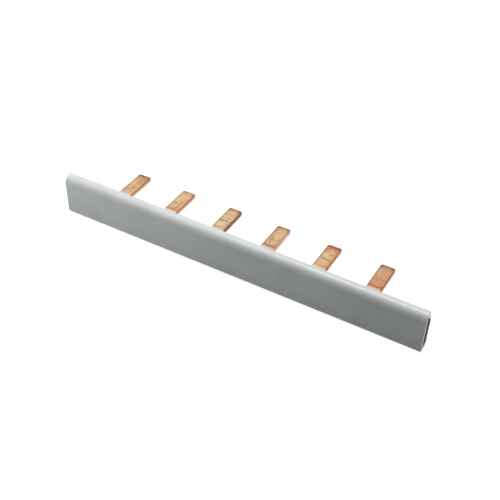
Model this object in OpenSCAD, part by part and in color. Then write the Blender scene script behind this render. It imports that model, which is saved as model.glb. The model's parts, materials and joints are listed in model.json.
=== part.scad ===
// Insulated comb bus bar, pin type, single pole.
// A stamped and bent copper comb sits in an extruded plastic profile, and its tongues stand out of the back.
// Frame: X runs along the bar, Y points the way the tongues do, Z is up.
// The origin is at the middle of the tongue row, in the profile's back plane, halfway through the copper.

/* [Tongue row] */
// Number of tongues
tongue_count = 6; // [2:1:12]
// Distance between the middles of two tongues, one module of the devices they serve
pitch = 17.8; // [12:0.1:27]
// Width of a tongue
tongue_width = 4.8; // [3:0.1:8]
// How far a tongue stands out of the profile's back plane
tongue_reach = 12; // [8:0.1:22]
// Corner radius of a tongue's tip, seen from above
tip_radius = 1; // [0.6:0.05:1.4]
// Bevel that coining leaves along a tongue's edges
coin_bevel = 0.3; // [0.1:0.05:0.5]
// Length of the lead-in that slopes each face down to a tongue's tip
lead_length = 0.9; // [0.5:0.05:2]
// How far the lead-in has gone down at the tip
lead_depth = 0.4; // [0.2:0.05:0.6]
// Distance of the score mark from a tongue's tip
score_from_tip = 7.4; // [3:0.1:10]
// Width of the score mark
score_width = 0.3; // [0.1:0.05:0.5]

/* [Copper strip] */
// Thickness of the copper sheet
copper_thickness = 1.6; // [1:0.1:3]
// Inside radius of the bend between strip and tongue
bend_radius = 0.8; // [0.5:0.05:1.5]
// Distance of the strip's ends from the profile's cut ends
strip_set_back = 3; // [1:0.1:8]
// Width of the relief notches beside each tongue's root
relief_width = 0.8; // [0.4:0.05:1.5]
// Depth of the relief notches below the bend
relief_depth = 1.3; // [0.9:0.05:2.5]

/* [Profile] */
// Overall height of the profile
profile_height = 14.5; // [10:0.1:20]
// Distance from the middle of the first tongue to the left cut end
left_margin = 21; // [8:0.1:30]
// Distance from the middle of the last tongue to the right cut end
right_margin = 18.5; // [8:0.1:30]
// Thickness of the front wall
front_wall = 1.8; // [1.2:0.1:3]
// Thickness of the back wall
back_wall = 1.1; // [0.8:0.05:2]
// Thickness of the profile's floor
floor_thickness = 1.4; // [1:0.1:2.5]
// Thickness of the lip over the tongues
lip_thickness = 1.3; // [1:0.1:2.5]
// How far the lip's edge lies in front of the back plane
lip_set_back = 1.6; // [0:0.05:2]
// Clearance between the copper and the profile
fit_gap = 0.2; // [0.1:0.05:0.4]

/* [Profile edges] */
// Radius of the upper front corner
upper_front_radius = 2.5; // [0.5:0.1:2.8]
// Radius of the lower front corner
lower_front_radius = 1.2; // [0.2:0.1:1.4]
// Radius of the lower back corner
lower_back_radius = 1.4; // [0.5:0.1:2.4]
// Radius of the lip's edge
lip_radius = 0.3; // [0.1:0.05:0.45]
// Radius of the back wall's outer upper edge
wall_edge_radius = 0.35; // [0.1:0.05:0.4]

/* [Hidden] */
$fn = 96;

// Past this far a cutting shape is clear of what it cuts
over = 0.5;

// Along the bar
row_length = (tongue_count - 1) * pitch;
profile_left = -row_length / 2 - left_margin;
profile_right = row_length / 2 + right_margin;

// Across the bar, from the back plane at zero to the front face
cavity_back = -back_wall;
strip_back = cavity_back - fit_gap;
strip_front = strip_back - copper_thickness;
cavity_front = strip_front - fit_gap;
front_face = cavity_front - front_wall;
lip_edge = -lip_set_back;

// Up the bar, from the tongues' middle plane at zero
tongue_top = copper_thickness / 2;
tongue_under = -copper_thickness / 2;
lip_under = tongue_top + fit_gap;
profile_top = lip_under + lip_thickness;
profile_bottom = profile_top - profile_height;
back_wall_top = tongue_under - fit_gap;
cavity_floor = profile_bottom + floor_thickness;
strip_bottom = cavity_floor + fit_gap;

// The bend's axis is also the height at which the strip ends
bend_y = strip_back + bend_radius;
bend_z = tongue_under - bend_radius;
bend_middle = bend_radius + copper_thickness / 2;

// The back wall's inner upper edge follows the inside of the bend
wall_inner_radius = bend_radius - fit_gap;
// Fillets inside the profile, small enough for the strip's square edges to clear them
cavity_fillet = 2 * fit_gap;

// The score mark lies on the flat between the bevels
score_half = score_width / 2;
score_length = tongue_width - 2 * coin_bevel - 2 * score_width;

function tongue_x(i) = -row_length / 2 + i * pitch;

// What a rounded corner loses: a square at the corner less its quarter disc
module corner_waste(corner, inward, radius) {
    side = radius + over;
    translate(corner)
        difference() {
            translate([inward.x > 0 ? -over : -radius, inward.y > 0 ? -over : -radius])
                square(side);
            translate(radius * inward)
                circle(radius);
        }
}

// What a fillet adds in an inner corner: a square in the corner less its quarter disc
module fillet(corner, outward, radius) {
    translate(corner)
        difference() {
            translate([outward.x > 0 ? 0 : -radius, outward.y > 0 ? 0 : -radius])
                square(radius);
            translate(radius * outward)
                circle(radius);
        }
}

// A rectangle between two corners
module span(low, high) {
    translate(low)
        square(high - low);
}

// The hollow of the profile with the slot at its back, seen along the bar
module profile_hollow() {
    difference() {
        union() {
            span([cavity_front, cavity_floor], [cavity_back, lip_under]);
            span([cavity_front, back_wall_top], [over, lip_under]);
            span([lip_edge, back_wall_top], [over, profile_top + over]);
            corner_waste([cavity_back, back_wall_top], [1, -1], wall_inner_radius);
        }
        fillet([cavity_front, cavity_floor], [1, 1], cavity_fillet);
        fillet([cavity_back, cavity_floor], [-1, 1], cavity_fillet);
        fillet([cavity_front, lip_under], [1, -1], cavity_fillet);
    }
}

// The profile's section, seen along the bar with the back to the right
module profile_section() {
    difference() {
        span([front_face, profile_bottom], [0, profile_top]);
        profile_hollow();
        corner_waste([front_face, profile_top], [1, -1], upper_front_radius);
        corner_waste([front_face, profile_bottom], [1, 1], lower_front_radius);
        corner_waste([0, profile_bottom], [-1, 1], lower_back_radius);
        corner_waste([0, back_wall_top], [-1, -1], wall_edge_radius);
        corner_waste([lip_edge, profile_top], [-1, -1], lip_radius);
        corner_waste([lip_edge, lip_under], [-1, 1], lip_radius);
    }
}

// Extrudes a section drawn in Y and Z along X, from one place on the bar to another
module along_bar(left, right) {
    translate([left, 0, 0])
        rotate([90, 0, 90])
            linear_extrude(right - left)
                children();
}

module insulating_profile() {
    color("#b9bdba")
        along_bar(profile_left, profile_right)
            profile_section();
}

// A tongue's section with its coined edges, width along X and thickness along Y
module tongue_section() {
    half_w = tongue_width / 2;
    half_t = copper_thickness / 2;
    polygon([
        for (side = [[1, 1], [-1, 1], [-1, -1], [1, -1]])
            for (first = [side.x * side.y > 0, side.x * side.y < 0])
                first
                    ? [side.x * half_w, side.y * (half_t - coin_bevel)]
                    : [side.x * (half_w - coin_bevel), side.y * half_t]
    ]);
}

// A round corner of a tongue's tip, bevelled above and below
module tip_corner() {
    half_t = copper_thickness / 2;
    rotate_extrude()
        polygon([
            [0, -half_t],
            [tip_radius - coin_bevel, -half_t],
            [tip_radius, coin_bevel - half_t],
            [tip_radius, half_t - coin_bevel],
            [tip_radius - coin_bevel, half_t],
            [0, half_t]
        ]);
}

// The tip's straight end between its round corners, bevelled above and below
module tip_end() {
    half_t = copper_thickness / 2;
    half_w = tongue_width / 2 - tip_radius;
    end = tip_radius;
    along_bar(-half_w, half_w)
        polygon([
            [-over, -half_t],
            [end - coin_bevel, -half_t],
            [end, coin_bevel - half_t],
            [end, half_t - coin_bevel],
            [end - coin_bevel, half_t],
            [-over, half_t]
        ]);
}

// What the lead-in takes off a tongue's upper face, past the sides and the tip
module lead_in() {
    slope = lead_depth / lead_length;
    half_w = tongue_width / 2 + over;
    start = tongue_reach - lead_length;
    end = tongue_reach + over;
    along_bar(-half_w, half_w)
        polygon([
            [start, tongue_top],
            [end, tongue_top - slope * (end - start)],
            [end, tongue_top + over],
            [start, tongue_top + over]
        ]);
}

// The shallow mark that the stamping tool leaves across a tongue's upper face
module score_mark() {
    translate([0, tongue_reach - score_from_tip, tongue_top])
        rotate([45, 0, 0])
            cube([score_length, score_half * sqrt(2), score_half * sqrt(2)], center = true);
}

// One tongue: the bend out of the strip, the straight and the rounded tip
module tongue() {
    corner_y = tongue_reach - tip_radius;
    difference() {
        union() {
            translate([0, bend_y, bend_z])
                rotate([0, -90, 0])
                    rotate(-90)
                        rotate_extrude(angle = 90)
                            translate([bend_middle, 0])
                                rotate(90)
                                    tongue_section();
            translate([0, corner_y, 0])
                rotate([90, 0, 0])
                    linear_extrude(corner_y - bend_y)
                        tongue_section();
            for (side = [-1, 1])
                translate([side * (tongue_width / 2 - tip_radius), corner_y, 0])
                    tip_corner();
            translate([0, corner_y, 0])
                tip_end();
        }
        score_mark();
        lead_in();
        mirror([0, 0, 1])
            lead_in();
    }
}

// A notch with a round bottom in the strip's upper edge
module relief_notch() {
    round_z = bend_z - relief_depth + relief_width / 2;
    translate([0, (strip_front + strip_back) / 2, 0])
        rotate([90, 0, 0])
            linear_extrude(copper_thickness + 2 * over, center = true)
                union() {
                    translate([0, round_z])
                        circle(relief_width / 2);
                    span([-relief_width / 2, round_z], [relief_width / 2, bend_z + over]);
                }
}

// The flat strip inside the profile
module strip() {
    difference() {
        along_bar(profile_left + strip_set_back, profile_right - strip_set_back)
            span([strip_front, strip_bottom], [strip_back, bend_z]);
        for (i = [0 : tongue_count - 1], side = [-1, 1])
            translate([tongue_x(i) + side * (tongue_width + relief_width) / 2, 0, 0])
                relief_notch();
    }
}

module copper_comb() {
    color("#d9935f")
        union() {
            strip();
            for (i = [0 : tongue_count - 1])
                translate([tongue_x(i), 0, 0])
                    tongue();
        }
}

insulating_profile();
copper_comb();
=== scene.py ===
"""Insulated comb bus bar: finishes for the plastic profile and the copper comb, in a plain white studio."""
import json
import math
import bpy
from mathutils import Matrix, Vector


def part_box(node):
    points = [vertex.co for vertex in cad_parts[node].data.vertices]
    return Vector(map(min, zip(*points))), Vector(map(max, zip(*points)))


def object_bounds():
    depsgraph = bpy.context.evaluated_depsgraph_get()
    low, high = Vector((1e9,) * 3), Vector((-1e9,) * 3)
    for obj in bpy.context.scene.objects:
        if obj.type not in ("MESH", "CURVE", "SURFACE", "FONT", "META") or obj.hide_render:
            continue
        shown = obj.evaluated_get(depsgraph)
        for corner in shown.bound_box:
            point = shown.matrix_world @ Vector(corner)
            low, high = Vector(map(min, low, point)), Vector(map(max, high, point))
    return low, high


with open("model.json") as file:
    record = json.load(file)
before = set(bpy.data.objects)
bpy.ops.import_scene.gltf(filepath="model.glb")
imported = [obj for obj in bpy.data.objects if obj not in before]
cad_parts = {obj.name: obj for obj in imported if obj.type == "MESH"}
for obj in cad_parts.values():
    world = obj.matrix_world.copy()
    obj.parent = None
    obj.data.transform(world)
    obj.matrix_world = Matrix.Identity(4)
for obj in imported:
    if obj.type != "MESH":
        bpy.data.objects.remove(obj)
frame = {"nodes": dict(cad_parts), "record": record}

from types import SimpleNamespace

import bpy
from bpy.props import FloatProperty, FloatVectorProperty, IntProperty, PointerProperty
from mathutils import Matrix, Vector

bl_info = {
    "name": "Comb bus bar",
    "version": (1, 0, 0),
    "blender": (4, 5, 0),
    "location": "View3D > Sidebar > Bus bar",
    "description": "Finishes of an insulated comb bus bar and the studio it is shown in",
    "category": "Object",
}

MM = 0.001
WHITE = (1.0, 1.0, 1.0)

# Boxes and the row of tongues, from the frame
CAD_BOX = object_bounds()
PROFILE_LOW, PROFILE_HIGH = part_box("insulating_profile")
TIP_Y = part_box("copper_comb")[1].y
ROW = next(mount["dims"] for mount in frame["record"]["mounts"] if mount["name"] == "tongue_row")
TONGUES = ROW["count"]
PITCH = ROW["spacing_x_mm"] * MM

# Sizes of the part that the frame doesn't state
TONGUE_WIDTH = 4.8 * MM
SCORE_Y = TIP_Y - 7.4 * MM
FRONT_WALL = 1.8 * MM
BACK_WALL = 1.1 * MM
FLOOR_THICKNESS = 1.4 * MM
LIP_THICKNESS = 1.3 * MM

# The hollow inside the profile, across the bar and up it
HOLLOW_Y = (PROFILE_LOW.y + FRONT_WALL, PROFILE_HIGH.y - BACK_WALL)
HOLLOW_Z = (PROFILE_LOW.z + FLOOR_THICKNESS, PROFILE_HIGH.z - LIP_THICKNESS)


class ProfileFinish(bpy.types.PropertyGroup):
    """Colours and surface of the extruded plastic profile."""

    colour: FloatVectorProperty(
        name="Colour", description="Grey of the extruded skin",
        subtype="COLOR", size=3, min=0, max=1, default=(0.528, 0.560, 0.553))
    cut_colour: FloatVectorProperty(
        name="Cut colour", description="Paler grey of the sawn ends",
        subtype="COLOR", size=3, min=0, max=1, default=(0.80, 0.80, 0.76))
    # Painted shade: this dark grey stands for the shade inside the hollow
    hollow_shade_colour: FloatVectorProperty(
        name="Hollow colour", description="Dull dark grey of the profile's inside",
        subtype="COLOR", size=3, min=0, max=1, default=(0.22, 0.225, 0.20))
    mottle: FloatProperty(
        name="Mottle", description="How much the skin's grey drifts from place to place",
        subtype="FACTOR", min=0, max=1, default=0.06)
    mottle_size: FloatProperty(
        name="Mottle size", description="Size of the patches in which the grey drifts",
        unit="LENGTH", min=1 * MM, default=14 * MM)
    gloss: FloatProperty(
        name="Gloss", description="Specular level of the plastic",
        subtype="FACTOR", min=0, max=1, default=0.35)
    roughness: FloatProperty(
        name="Roughness", description="Roughness of the skin at its smoothest",
        subtype="FACTOR", min=0, max=1, default=0.33)
    saw_spacing: FloatProperty(
        name="Saw mark spacing", description="Mean distance between the marks of the saw on the cut ends",
        unit="LENGTH", min=0.05 * MM, max=2 * MM, default=0.3 * MM)
    line_spacing: FloatProperty(
        name="Die line spacing", description="Mean distance between the fine lines that the die leaves",
        unit="LENGTH", min=0.05 * MM, max=2 * MM, default=0.35 * MM)
    line_depth: FloatProperty(
        name="Die line depth", description="Depth of the die lines",
        unit="LENGTH", min=0, max=0.1 * MM, default=0.004 * MM)


class CombFinish(bpy.types.PropertyGroup):
    """Colours and surface of the stamped copper comb."""

    colour: FloatVectorProperty(
        name="Colour", description="Yellow of the rolled faces",
        subtype="COLOR", size=3, min=0, max=1, default=(0.803, 0.657, 0.398))
    blush: FloatVectorProperty(
        name="Blush", description="Orange copper of rubbed places",
        subtype="COLOR", size=3, min=0, max=1, default=(0.665, 0.346, 0.190))
    # Heat tint of tips, flecks and blots, also used as painted shade in the root line and on some coined
    # edges
    heat_tint_and_shade: FloatVectorProperty(
        name="Heat", description="Orange brown of the tip, of the line at the root and of flecks and blots",
        subtype="COLOR", size=3, min=0, max=1, default=(0.41, 0.172, 0.095))
    # Painted highlight: this pale cream stands for the lamps mirrored at the root's bend
    root_highlight: FloatVectorProperty(
        name="Sheen", description="Pale cream of the rubbed root",
        subtype="COLOR", size=3, min=0, max=1, default=(0.80, 0.62, 0.475))
    # On the sheared sides and coined edges this dark brown is painted shade
    edge_colour: FloatVectorProperty(
        name="Edge colour", description="Dark brown of the tip's rim and of the darkest edges and sides",
        subtype="COLOR", size=3, min=0, max=1, default=(0.22, 0.092, 0.056))
    # Painted reflection: this peach stands for light mirrored in the brightest sheared sides
    side_reflection_colour: FloatVectorProperty(
        name="Side colour", description="Peach of the brightest sheared sides",
        subtype="COLOR", size=3, min=0, max=1, default=(0.74, 0.53, 0.42))
    # Painted highlight along the right edge of some tongues
    right_edge_highlight: FloatVectorProperty(
        name="Bright colour", description="Light orange of the polished line beside some coined edges",
        subtype="COLOR", size=3, min=0, max=1, default=(0.86, 0.50, 0.27))
    # Painted shade along the left edge
    left_edge_shade: FloatVectorProperty(
        name="Dull colour", description="Greyish brown of the dull line along the left edge",
        subtype="COLOR", size=3, min=0, max=1, default=(0.345, 0.245, 0.18))
    score_colour: FloatVectorProperty(
        name="Score colour", description="Olive brown of the scored line",
        subtype="COLOR", size=3, min=0, max=1, default=(0.225, 0.115, 0.045))
    grazing: FloatVectorProperty(
        name="Grazing colour", description="Tint that the copper keeps when seen at a shallow angle",
        subtype="COLOR", size=3, min=0, max=1, default=(1.0, 0.82, 0.66))
    cloud_size: FloatProperty(
        name="Cloud size", description="Size of the clouds of orange on the rolled faces",
        unit="LENGTH", min=0.1 * MM, default=3.5 * MM)
    blot_size: FloatProperty(
        name="Blot size", description="Size of the brown blots, which also make borders ragged",
        unit="LENGTH", min=0.1 * MM, default=1.3 * MM)
    blot_strength: FloatProperty(
        name="Blot strength", description="How brown the blots are",
        subtype="FACTOR", min=0, max=1, default=0.4)
    fleck_size: FloatProperty(
        name="Fleck size", description="Size of the small brown flecks",
        unit="LENGTH", min=0.1 * MM, default=0.45 * MM)
    fleck_strength: FloatProperty(
        name="Fleck strength", description="How brown the flecks are",
        subtype="FACTOR", min=0, max=1, default=0.28)
    tone_seed: IntProperty(
        name="Tone seed", description="Picks which tongues are yellow and which are orange", default=906737)
    tip_seed: IntProperty(
        name="Tip seed", description="Picks which tips are browned", default=513164)
    score_seed: IntProperty(
        name="Score seed", description="Picks which scored lines are dark", default=72306)
    side_seed: IntProperty(
        name="Side seed", description="Picks which sheared sides are dark", default=435847)
    # The brown line at the root is painted shade
    root_seed: IntProperty(
        name="Root seed", description="Picks which roots have a brown line", default=90322)
    step_seed: IntProperty(
        name="Step seed", description="Picks which tongues are more orange between root and score",
        default=511200)
    roughness: FloatProperty(
        name="Roughness", description="Roughness of the rolled faces at their smoothest",
        subtype="FACTOR", min=0, max=1, default=0.22)
    grain_spacing: FloatProperty(
        name="Grain spacing", description="Mean distance between the rolling lines",
        unit="LENGTH", min=0.02 * MM, max=1 * MM, default=0.12 * MM)
    grain_depth: FloatProperty(
        name="Grain depth", description="Depth of the rolling lines",
        unit="LENGTH", min=0, max=0.05 * MM, default=0.003 * MM)


class Studio(bpy.types.PropertyGroup):
    """Camera, lamps and floor."""

    azimuth: FloatProperty(
        name="Azimuth", description="Camera's turn about the vertical, from straight in front",
        subtype="ANGLE", default=math.radians(28.502))
    elevation: FloatProperty(
        name="Elevation", description="Camera's height angle",
        subtype="ANGLE", default=math.radians(40.15))
    roll: FloatProperty(
        name="Roll", description="Camera's turn about its own axis",
        subtype="ANGLE", default=math.radians(1.959))
    distance: FloatProperty(
        name="Distance", description="Distance from the camera to the point it looks at",
        unit="LENGTH", min=0.01, default=0.27)
    aim: FloatVectorProperty(
        name="Aim", description="Point that the camera looks at",
        subtype="XYZ", unit="LENGTH", size=3, default=(0.00522, -0.00403, 0.00112))
    lens: FloatProperty(
        name="Lens", description="Focal length in millimetres on a 36 mm sensor",
        unit="CAMERA", min=10, max=300, default=63.59)
    floor_size: FloatProperty(
        name="Floor size", description="Length of the floor's sides",
        unit="LENGTH", min=0.5, default=4.0)
    floor_colour: FloatVectorProperty(
        name="Floor colour", description="Grey of the floor by lamplight alone, before its lift",
        subtype="COLOR", size=3, min=0, max=1, default=(0.24, 0.25, 0.275))
    floor_lift: FloatProperty(
        name="Floor lift", description="White that the floor adds where it is seen directly",
        subtype="FACTOR", min=0, max=1, default=0.9)
    key_power: FloatProperty(
        name="Key power", description="Power of the near lamp at the left",
        subtype="POWER", min=0, default=0.195)
    top_power: FloatProperty(
        name="Top power", description="Power of the large lamp overhead",
        subtype="POWER", min=0, default=1.17)
    back_power: FloatProperty(
        name="Back power", description="Power of the large lamp behind",
        subtype="POWER", min=0, default=2.25)
    side_power: FloatProperty(
        name="Side power", description="Power of the lamp past the right end",
        subtype="POWER", min=0, default=0.21)
    sheen_power: FloatProperty(
        name="Sheen power", description="Power of the broad lamp that is only mirrored",
        subtype="POWER", min=0, default=0.81)
    strip_power: FloatProperty(
        name="Strip power", description="Power of the narrow lamp that is only mirrored",
        subtype="POWER", min=0, default=1.29)


# Nodes

def add(tree, kind, inputs=None, **settings):
    """Add a node, set its options, and set or link its inputs."""
    node = tree.nodes.new(kind)
    for key, value in settings.items():
        setattr(node, key, value)
    for socket, value in (inputs or {}).items():
        if isinstance(value, bpy.types.NodeSocket):
            tree.links.new(value, node.inputs[socket])
        else:
            node.inputs[socket].default_value = value
    return node


def math_node(tree, operation, *values, clamp=False):
    """Add a Math node and return its output."""
    node = add(tree, "ShaderNodeMath", dict(enumerate(values)), operation=operation, use_clamp=clamp)
    return node.outputs[0]


def scaled(tree, value, gain, base, clamp=False):
    """A value times a gain, on top of a base."""
    return math_node(tree, "MULTIPLY_ADD", value, gain, base, clamp=clamp)


def chain(tree, operation, values):
    """Join values two by two with one operation."""
    result = values[0]
    for value in values[1:]:
        result = math_node(tree, operation, result, value)
    return result


def product(tree, *values):
    """All the values multiplied."""
    return chain(tree, "MULTIPLY", values)


def largest(tree, *values):
    """The largest of the values."""
    return chain(tree, "MAXIMUM", values)


def ramp(tree, value, zero, one):
    """Smooth step from 0 at one value to 1 at another."""
    node = add(tree, "ShaderNodeMapRange",
               {"Value": value, "From Min": zero, "From Max": one}, interpolation_type="SMOOTHSTEP")
    return node.outputs["Result"]


def within(tree, value, low, high, soft):
    """1 between low and high, with soft shoulders outside them."""
    above = ramp(tree, value, zero=low - soft, one=low)
    below = ramp(tree, value, zero=high + soft, one=high)
    return product(tree, above, below)


def separate(tree, vector):
    """A vector's X, Y and Z."""
    return add(tree, "ShaderNodeSeparateXYZ", {0: vector}).outputs


def rgba(colour):
    """Three numbers of a colour as four."""
    return (*colour, 1.0)


def darker(colour, share):
    """A colour with a share of it taken away."""
    return tuple(part * (1 - share) for part in colour)


def paint(tree, under, mask, over, strength=None):
    """Lay one colour over another where the mask is 1. Each colour is a socket or three numbers."""
    factor = mask if strength is None else product(tree, mask, strength)
    first, second = (colour if isinstance(colour, bpy.types.NodeSocket) else rgba(colour)
                     for colour in (under, over))
    node = add(tree, "ShaderNodeMix", {"Factor": factor, "A": first, "B": second}, data_type="RGBA")
    return node.outputs["Result"]


# Shared effects, as node groups

def new_group(name, inputs, outputs):
    """Start a group that puts out values. Of its inputs, one without a default is a vector."""
    group = bpy.data.node_groups.new(name, "ShaderNodeTree")
    for socket, default in inputs.items():
        if default is None:
            group.interface.new_socket(socket, in_out="INPUT", socket_type="NodeSocketVector")
        else:
            made = group.interface.new_socket(socket, in_out="INPUT", socket_type="NodeSocketFloat")
            made.default_value = default
    for socket in outputs:
        group.interface.new_socket(socket, in_out="OUTPUT", socket_type="NodeSocketFloat")
    return group, group.nodes.new("NodeGroupInput").outputs, group.nodes.new("NodeGroupOutput").inputs


def streaks_group():
    """Fine parallel lines along X, as die lines, saw marks or rolling grain."""
    group, given, result = new_group(
        "streaks", {"Vector": None, "Spacing": MM, "Stretch": 60.0}, ("Height", "Mask"))
    along = math_node(group, "DIVIDE", 1.0, given["Stretch"])
    squeeze = add(group, "ShaderNodeCombineXYZ", {"X": along, "Y": 1.0, "Z": 1.0})
    drawn = add(group, "ShaderNodeVectorMath",
                {0: given["Vector"], 1: squeeze.outputs[0]}, operation="MULTIPLY")
    scale = math_node(group, "DIVIDE", 1.0, given["Spacing"])
    noise = add(group, "ShaderNodeTexNoise",
                {"Vector": drawn.outputs[0], "Scale": scale, "Detail": 3.0, "Roughness": 0.6})
    group.links.new(noise.outputs["Fac"], result["Height"])
    group.links.new(ramp(group, noise.outputs["Fac"], zero=0.35, one=0.65), result["Mask"])
    return group


def drift_group():
    """Slow, cloudy change over the surface, as mottle, tarnish or flecks."""
    group, given, result = new_group("drift", {"Vector": None, "Size": 10 * MM}, ("Value", "Patches"))
    scale = math_node(group, "DIVIDE", 1.0, given["Size"])
    noise = add(group, "ShaderNodeTexNoise",
                {"Vector": given["Vector"], "Scale": scale, "Detail": 4.0, "Roughness": 0.55,
                 "Distortion": 0.4})
    group.links.new(noise.outputs["Fac"], result["Value"])
    group.links.new(ramp(group, noise.outputs["Fac"], zero=0.42, one=0.62), result["Patches"])
    return group


def end_faces_group():
    """Mask of the faces that look along the bar."""
    group, given, result = new_group("end_faces", {"Normal": None}, ("Mask",))
    sideways = math_node(group, "ABSOLUTE", separate(group, given["Normal"])["X"])
    group.links.new(ramp(group, sideways, zero=0.75, one=0.95), result["Mask"])
    return group


def tongue_group():
    """Place across the nearest tongue, from its middle line, and a chance that each tongue has to itself."""
    group, given, result = new_group("tongue", {"Vector": None, "Seed": 0.0}, ("Offset", "Chance"))
    steps = scaled(group, separate(group, given["Vector"])["X"], gain=1 / PITCH, base=TONGUES / 2)
    number = math_node(group, "FLOOR", steps)
    part_step = math_node(group, "SUBTRACT", math_node(group, "SUBTRACT", steps, number), 0.5)
    chance = add(group, "ShaderNodeTexWhiteNoise",
                 {"W": math_node(group, "ADD", number, given["Seed"])}, noise_dimensions="1D")
    group.links.new(product(group, part_step, PITCH), result["Offset"])
    group.links.new(chance.outputs["Value"], result["Chance"])
    return group


GROUPS = {
    "streaks": streaks_group,
    "drift": drift_group,
    "end_faces": end_faces_group,
    "tongue": tongue_group,
}


def use_group(tree, name, inputs):
    """Place a shared group, built the first time it is asked for, and return its outputs."""
    group = bpy.data.node_groups.get(name) or GROUPS[name]()
    return add(tree, "ShaderNodeGroup", inputs, node_tree=group).outputs


# Materials

def start_material(name):
    """A new material, its nodes and its Principled shader."""
    material = bpy.data.materials.new(name)
    material.use_nodes = True
    tree = material.node_tree
    return material, tree, tree.nodes["Principled BSDF"]


def raise_lines(tree, shader, height, depth):
    """Make lines stand out to the eye, to that depth. The shape stays as it is."""
    bump = add(tree, "ShaderNodeBump", {"Height": height, "Distance": depth, "Strength": 1.0})
    tree.links.new(bump.outputs["Normal"], shader.inputs["Normal"])


def dress(node, material):
    """Give a CAD node one material all over."""
    mesh = frame["nodes"][node].data
    mesh.materials.clear()
    mesh.materials.append(material)


# Grey plastic of the profile

def sawn_plastic(tree, spot, finish):
    """Pale cut plastic, with the marks of the saw running up and down."""
    upended = add(tree, "ShaderNodeCombineXYZ", {"X": spot["Z"], "Y": spot["Y"], "Z": spot["X"]})
    marks = use_group(tree, "streaks",
                      {"Vector": upended.outputs[0], "Spacing": finish.saw_spacing, "Stretch": 12.0})
    return paint(tree, finish.cut_colour, marks["Mask"], darker(finish.cut_colour, share=0.2))


def hollow_shade_mask(tree, spot):
    """1 on the walls of the profile's hollow, where shade is painted."""
    soft = 0.05 * MM
    return product(tree, within(tree, spot["Y"], *HOLLOW_Y, soft), within(tree, spot["Z"], *HOLLOW_Z, soft))


def profile_material(finish):
    """Extruded grey plastic: a satin skin with faint die lines, paler sawn ends and painted shade on the
    inside.
    """
    material, tree, shader = start_material("grey_plastic")
    place = tree.nodes.new("ShaderNodeTexCoord").outputs
    where = place["Object"]
    spot = separate(tree, where)
    drift = use_group(tree, "drift", {"Vector": where, "Size": finish.mottle_size})
    ends = use_group(tree, "end_faces", {"Normal": place["Normal"]})["Mask"]

    colour = paint(tree, finish.colour, drift["Patches"], darker(finish.colour, finish.mottle))
    colour = paint(tree, colour, ends, sawn_plastic(tree, spot, finish))
    # Painted shade on the walls of the hollow
    colour = paint(tree, colour, hollow_shade_mask(tree, spot), finish.hollow_shade_colour)
    tree.links.new(colour, shader.inputs["Base Color"])

    satin = scaled(tree, drift["Value"], gain=0.10, base=finish.roughness)
    tree.links.new(scaled(tree, ends, gain=0.25, base=satin), shader.inputs["Roughness"])
    shader.inputs["Specular IOR Level"].default_value = finish.gloss
    lines = use_group(tree, "streaks", {"Vector": where, "Spacing": finish.line_spacing, "Stretch": 80.0})
    raise_lines(tree, shader, lines["Height"], finish.line_depth)
    return material


# Copper of the comb

def from_tip(distance):
    """Place along a tongue, as millimetres back from its tip."""
    return TIP_Y - distance * MM


def past_score(distance):
    """Place along a tongue, as millimetres past its score mark, towards the tip."""
    return SCORE_Y + distance * MM


def from_edge(distance):
    """Place across a tongue, as millimetres in from its right edge."""
    return TONGUE_WIDTH / 2 - distance * MM


def read_copper(tree, finish):
    """What the marks go by: places on a tongue, blots of three sizes and each tongue's own chances."""
    place = tree.nodes.new("ShaderNodeTexCoord").outputs
    where = place["Object"]
    spot = separate(tree, where)
    # Forward and level say how far the surface faces the way the tongues point, and up or down
    facing = separate(tree, place["Normal"])
    clouds, blots, flecks = (use_group(tree, "drift", {"Vector": where, "Size": size})
                             for size in (finish.cloud_size, finish.blot_size, finish.fleck_size))
    tongues = {name: use_group(tree, "tongue", {"Vector": where, "Seed": getattr(finish, f"{name}_seed")})
               for name in ("tone", "tip", "score", "side", "root", "step")}
    offset = tongues["tone"]["Offset"]
    across = math_node(tree, "ABSOLUTE", offset)
    return SimpleNamespace(
        tree=tree, where=where, along=spot["Y"], height=spot["Z"], offset=offset, across=across,
        forward=facing["Y"], level=math_node(tree, "ABSOLUTE", facing["Z"]),
        clouds=clouds, blots=blots, flecks=flecks,
        ragged_along=scaled(tree, blots["Patches"], gain=0.7 * MM, base=spot["Y"]),
        ragged_across=scaled(tree, blots["Patches"], gain=0.6 * MM, base=across),
        chance={name: outputs["Chance"] for name, outputs in tongues.items()})


def rolled_face(copper, finish):
    """Yellow that turns orange by tongue, in clouds and towards edges, root and tip, with brown flecks."""
    tree, chance = copper.tree, copper.chance
    rightward = scaled(tree, ramp(tree, copper.offset, zero=-1.0 * MM, one=1.0 * MM), gain=0.6, base=0.4)
    margin = ramp(tree, copper.ragged_across, zero=from_edge(1.1), one=from_edge(-0.1))
    margin = product(tree, margin, rightward)
    outer = ramp(tree, copper.ragged_along, zero=from_tip(5.5), one=from_tip(1.5))
    outer = product(tree, outer, chance["tip"])
    inner = ramp(tree, copper.ragged_along, zero=past_score(0.5), one=past_score(-0.1))
    step = scaled(tree, chance["step"], gain=0.5, base=-0.12)

    orange = scaled(tree, chance["tone"], gain=0.6, base=-0.07)
    orange = scaled(tree, inner, gain=step, base=orange)
    orange = scaled(tree, chance["step"], gain=-0.15, base=orange)
    toned = ramp(tree, chance["tone"], zero=0.0, one=0.3)
    for mask, gain in ((toned, 0.12), (copper.clouds["Patches"], 0.45), (margin, 0.6), (outer, 0.45)):
        orange = scaled(tree, mask, gain, base=orange, clamp=True)
    face = paint(tree, finish.colour, orange, finish.blush)
    face = paint(tree, face, copper.flecks["Patches"], finish.heat_tint_and_shade, strength=finish.fleck_strength)
    blots = ramp(tree, copper.blots["Value"], zero=0.56, one=0.66)
    return paint(tree, face, blots, finish.heat_tint_and_shade, strength=finish.blot_strength)


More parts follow.
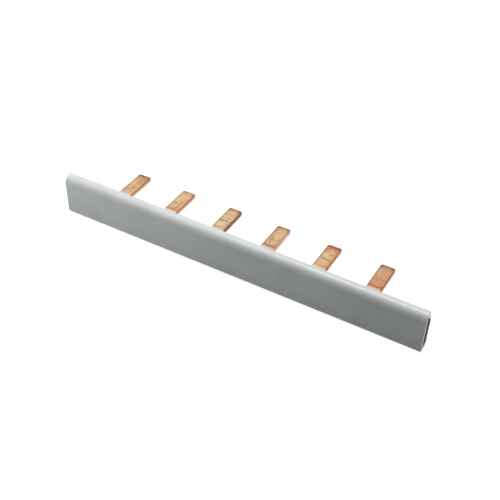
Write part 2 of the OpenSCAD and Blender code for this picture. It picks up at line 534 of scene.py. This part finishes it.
def edge_lines(copper, finish, face):
    """Painted shade as a dull line along the left edge, and on some tongues a painted highlight along the
    right one.
    """
    tree = copper.tree
    left = ramp(tree, copper.offset, zero=-from_edge(0.8), one=-from_edge(0.5))
    # Painted shade along the left edge
    face = paint(tree, face, left, finish.left_edge_shade, strength=0.7)
    some = within(tree, copper.chance["side"], low=0.34, high=0.46, soft=0.03)
    right = within(tree, copper.offset, low=from_edge(0.8), high=from_edge(0.35), soft=0.15 * MM)
    fading = ramp(tree, copper.along, zero=from_tip(2.0), one=from_tip(8.0))
    # Painted highlight along the right edge of some tongues
    return paint(tree, face, product(tree, some, right, fading), finish.right_edge_highlight)


def browned_tip(copper, finish, face):
    """A browned tip, more so on some tongues, with a dark bowed rim."""
    tree, chance = copper.tree, copper.chance["tip"]
    tip = ramp(tree, copper.ragged_along, zero=from_tip(2.7), one=from_tip(0.5))
    browned = scaled(tree, chance, gain=1.1, base=-0.1, clamp=True)
    face = paint(tree, face, tip, finish.heat_tint_and_shade, strength=browned)
    bowed = scaled(tree, product(tree, copper.across, copper.across), gain=0.14 / MM, base=copper.along)
    rim = ramp(tree, bowed, zero=from_tip(1.3), one=from_tip(0.9))
    return paint(tree, face, rim, finish.edge_colour, strength=scaled(tree, chance, gain=0.4, base=0.6))


def root_marks(copper, finish, face):
    """A brown line of painted shade on some tongues and a pale painted highlight on all, at the root."""
    tree = copper.tree
    # Painted shade: a brown line at the root, next to the lip
    line = within(tree, copper.ragged_along, low=1.25 * MM, high=1.6 * MM, soft=0.5 * MM)
    face = paint(tree, face, line, finish.heat_tint_and_shade, strength=copper.chance["root"])
    # Painted highlight: a pale stretch at the root, where the bend would mirror the lamps
    rubbed = ramp(tree, copper.along, zero=0.9 * MM, one=0.1 * MM)
    return paint(tree, face, rubbed, finish.root_highlight, strength=0.85)


def score_line(copper, finish, face):
    """A line in the score mark, dark on some tongues and faint on the others."""
    tree = copper.tree
    line = within(tree, copper.along, low=past_score(-0.15), high=past_score(0.15), soft=0.12 * MM)
    middle = ramp(tree, copper.ragged_across, zero=from_edge(0.1), one=from_edge(0.7))
    marked = scaled(tree, ramp(tree, copper.chance["score"], zero=0.3, one=1.0), gain=0.75, base=0.25)
    marked = scaled(tree, copper.blots["Patches"], gain=0.2, base=marked, clamp=True)
    return paint(tree, face, product(tree, line, middle, marked), finish.score_colour, strength=0.85)


def edge_mask(copper):
    """1 on the steep coined edges, sheared sides and ends of the tips, and 0 in the score mark."""
    tree = copper.tree
    steep = ramp(tree, copper.level, zero=0.88, one=0.80)
    flat = ramp(tree, copper.across, zero=from_edge(0.3), one=from_edge(0.4))
    groove = within(tree, copper.along, low=past_score(-0.3), high=past_score(0.3), soft=0.05 * MM)
    return math_node(tree, "SUBTRACT", steep, product(tree, flat, groove), clamp=True)


def edges_and_sides(copper, finish):
    """Blotched sides painted from bright reflection to dark shade, with brown lines of painted shade, dark
    ends and edges that go with them.
    """
    tree, chance = copper.tree, copper.chance["side"]
    line_strength = 0.5
    upper = product(tree, ramp(tree, copper.height, zero=-0.1 * MM, one=0.15 * MM),
                    ramp(tree, chance, zero=0.0, one=0.3))
    lower = ramp(tree, copper.height, zero=-0.1 * MM, one=-0.35 * MM)
    lines = product(tree, largest(tree, upper, lower), line_strength)
    blotched = scaled(tree, copper.blots["Patches"], gain=-0.3, base=ramp(tree, chance, zero=0.2, one=0.95))
    tip_end = ramp(tree, copper.forward, zero=0.4, one=0.7)
    dark = largest(tree, math_node(tree, "ABSOLUTE", blotched), lines, tip_end)
    # Painted reflection and shade on the sides
    side = paint(tree, finish.side_reflection_colour, dark, finish.edge_colour)

    # Coined edges painted bright or dark by tongue, as reflection and shade
    edge = paint(tree, finish.side_reflection_colour, ramp(tree, chance, zero=-0.35, one=0.35), finish.heat_tint_and_shade)
    edge = paint(tree, edge, ramp(tree, chance, zero=0.5, one=0.9), finish.edge_colour)
    return paint(tree, edge, ramp(tree, copper.level, zero=0.5, one=0.3), side)


def comb_material(finish):
    """Rolled copper: each tongue has its own tones, browned tip, scored line and sheared sides, with painted
    highlights and shade at edges and root.
    """
    material, tree, shader = start_material("copper")
    copper = read_copper(tree, finish)
    colour = rolled_face(copper, finish)
    for add_marks in (edge_lines, browned_tip, root_marks, score_line):
        colour = add_marks(copper, finish, colour)
    edge = edge_mask(copper)
    # Sides and edges take their painted reflection and shade
    colour = paint(tree, colour, edge, edges_and_sides(copper, finish))
    tree.links.new(colour, shader.inputs["Base Color"])

    satin = scaled(tree, copper.clouds["Value"], gain=0.16, base=finish.roughness)
    tree.links.new(scaled(tree, edge, gain=0.15, base=satin), shader.inputs["Roughness"])
    shader.inputs["Metallic"].default_value = 1.0
    shader.inputs["Specular Tint"].default_value = rgba(finish.grazing)
    grain = use_group(tree, "streaks",
                      {"Vector": copper.where, "Spacing": finish.grain_spacing, "Stretch": 25.0})
    raise_lines(tree, shader, grain["Height"], finish.grain_depth)
    return material


# Stage

def seen_directly(tree):
    """1 for camera, mirror and glass rays, 0 for rays that carry light."""
    path = tree.nodes.new("ShaderNodeLightPath").outputs
    return largest(tree, path["Is Camera Ray"], path["Is Glossy Ray"], path["Is Transmission Ray"])


def floor_material(studio):
    """Matt floor that is lifted to white where it is seen directly, and keeps the shadow."""
    material, tree, shader = start_material("studio_floor")
    shader.inputs["Base Color"].default_value = rgba(studio.floor_colour)
    shader.inputs["Roughness"].default_value = 0.9
    shader.inputs["Emission Color"].default_value = rgba(WHITE)
    tree.links.new(product(tree, seen_directly(tree), studio.floor_lift), shader.inputs["Emission Strength"])
    return material


def add_floor(studio):
    """A floor under the part."""
    bpy.ops.object.select_all(action="DESELECT")
    bpy.ops.mesh.primitive_plane_add(size=studio.floor_size, location=(0, 0, CAD_BOX[0].z))
    floor = bpy.context.object
    floor.name = "studio_floor"
    floor.data.materials.append(floor_material(studio))


def light_world():
    """White all round where it is seen or mirrored, and dark to rays that carry light."""
    world = bpy.data.worlds.new("studio_world")
    world.use_nodes = True
    tree = world.node_tree
    background = tree.nodes["Background"]
    background.inputs["Color"].default_value = rgba(WHITE)
    tree.links.new(seen_directly(tree), background.inputs["Strength"])
    bpy.context.scene.world = world


def area_lamp(name, place, size, power, colour=WHITE):
    """A soft lamp of that width and depth, which faces the part's origin and isn't mirrored."""
    bpy.ops.object.light_add(type="AREA", location=place)
    lamp = bpy.context.object
    lamp.name = name
    lamp.data.shape = "RECTANGLE"
    lamp.data.size, lamp.data.size_y = size
    lamp.data.energy = power
    lamp.data.color = colour
    lamp.visible_camera = False
    lamp.visible_glossy = False
    lamp.rotation_euler = (-Vector(place)).to_track_quat("-Z", "Y").to_euler()
    return lamp


def gloss_lamp(name, place, size, power, pieces):
    """A soft lamp that is only mirrored, and only in the pieces of that collection."""
    lamp = area_lamp(name, place, size, power)
    lamp.visible_diffuse = False
    lamp.visible_glossy = True
    lamp.light_linking.receiver_collection = pieces


def add_lamps(studio):
    """Four soft lamps for the whole part, and two that only the plastic mirrors."""
    area_lamp("key_lamp", place=(-0.17, -0.15, 0.03), size=(0.08, 0.08),
              power=studio.key_power, colour=(1.0, 0.985, 0.96))
    area_lamp("top_lamp", place=(-0.16, 0.0, 0.40), size=(0.20, 0.12),
              power=studio.top_power, colour=(1.0, 0.975, 0.99))
    area_lamp("back_lamp", place=(-0.05, 0.25, 0.45), size=(0.30, 0.12),
              power=studio.back_power, colour=(1.0, 0.95, 0.965))
    area_lamp("side_lamp", place=(0.35, 0.08, 0.02), size=(0.08, 0.08), power=studio.side_power)
    glossy = bpy.data.collections.new("glossy_pieces")
    glossy.objects.link(frame["nodes"]["insulating_profile"])
    gloss_lamp("sheen_lamp", place=(-0.05, 0.05, 0.50), size=(0.30, 0.12),
               power=studio.sheen_power, pieces=glossy)
    gloss_lamp("strip_lamp", place=(-0.08, 0.11, 0.50), size=(0.16, 0.03),
               power=studio.strip_power, pieces=glossy)


def place_camera(studio):
    """A camera at the photograph's viewing angle."""
    flat = math.cos(studio.elevation)
    back = Vector((math.sin(studio.azimuth) * flat,
                   -math.cos(studio.azimuth) * flat,
                   math.sin(studio.elevation)))
    eye = Vector(studio.aim) + studio.distance * back
    turn = (-back).to_track_quat("-Z", "Y").to_matrix() @ Matrix.Rotation(studio.roll, 3, "Z")
    bpy.ops.object.camera_add(location=eye, rotation=turn.to_euler())
    camera = bpy.context.object
    camera.name = "photo_camera"
    camera.data.sensor_width = 36.0
    camera.data.lens = studio.lens
    camera.data.clip_start = 0.01
    bpy.context.scene.camera = camera


# Operators

class BUSBAR_OT_dress_profile(bpy.types.Operator):
    """Give the insulating profile its grey plastic finish"""

    bl_idname = "busbar.dress_profile"
    bl_label = "Dress profile"

    def execute(self, context):
        dress("insulating_profile", profile_material(context.scene.busbar_profile))
        return {"FINISHED"}


class BUSBAR_OT_dress_comb(bpy.types.Operator):
    """Give the comb its copper finish"""

    bl_idname = "busbar.dress_comb"
    bl_label = "Dress comb"

    def execute(self, context):
        dress("copper_comb", comb_material(context.scene.busbar_comb))
        return {"FINISHED"}


class BUSBAR_OT_build_stage(bpy.types.Operator):
    """Add the floor, the world, the lamps and the camera"""

    bl_idname = "busbar.build_stage"
    bl_label = "Build stage"

    def execute(self, context):
        studio = context.scene.busbar_studio
        add_floor(studio)
        light_world()
        add_lamps(studio)
        place_camera(studio)
        context.scene.view_settings.view_transform = "Standard"
        return {"FINISHED"}


class BUSBAR_PT_panel(bpy.types.Panel):
    """Buttons and settings of the bus bar"""

    bl_idname = "BUSBAR_PT_panel"
    bl_label = "Comb bus bar"
    bl_space_type = "VIEW_3D"
    bl_region_type = "UI"
    bl_category = "Bus bar"

    def draw(self, context):
        layout = self.layout
        for operator in OPERATORS:
            layout.operator(operator.bl_idname)
        for name, cls in SETTINGS.items():
            box = layout.box()
            for setting in cls.__annotations__:
                box.prop(getattr(context.scene, name), setting)


SETTINGS = {"busbar_profile": ProfileFinish, "busbar_comb": CombFinish, "busbar_studio": Studio}
OPERATORS = (BUSBAR_OT_dress_profile, BUSBAR_OT_dress_comb, BUSBAR_OT_build_stage)
CLASSES = (*SETTINGS.values(), *OPERATORS, BUSBAR_PT_panel)


def register():
    """Register the classes and give scenes their settings."""
    for cls in CLASSES:
        bpy.utils.register_class(cls)
    for name, cls in SETTINGS.items():
        setattr(bpy.types.Scene, name, PointerProperty(type=cls))


def unregister():
    """Take back what register did."""
    for name in SETTINGS:
        delattr(bpy.types.Scene, name)
    for cls in reversed(CLASSES):
        bpy.utils.unregister_class(cls)


def main():
    """Dress the part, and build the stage."""
    register()
    bpy.ops.busbar.dress_profile()
    bpy.ops.busbar.dress_comb()
    bpy.ops.busbar.build_stage()


if __name__ == "__main__":
    main()
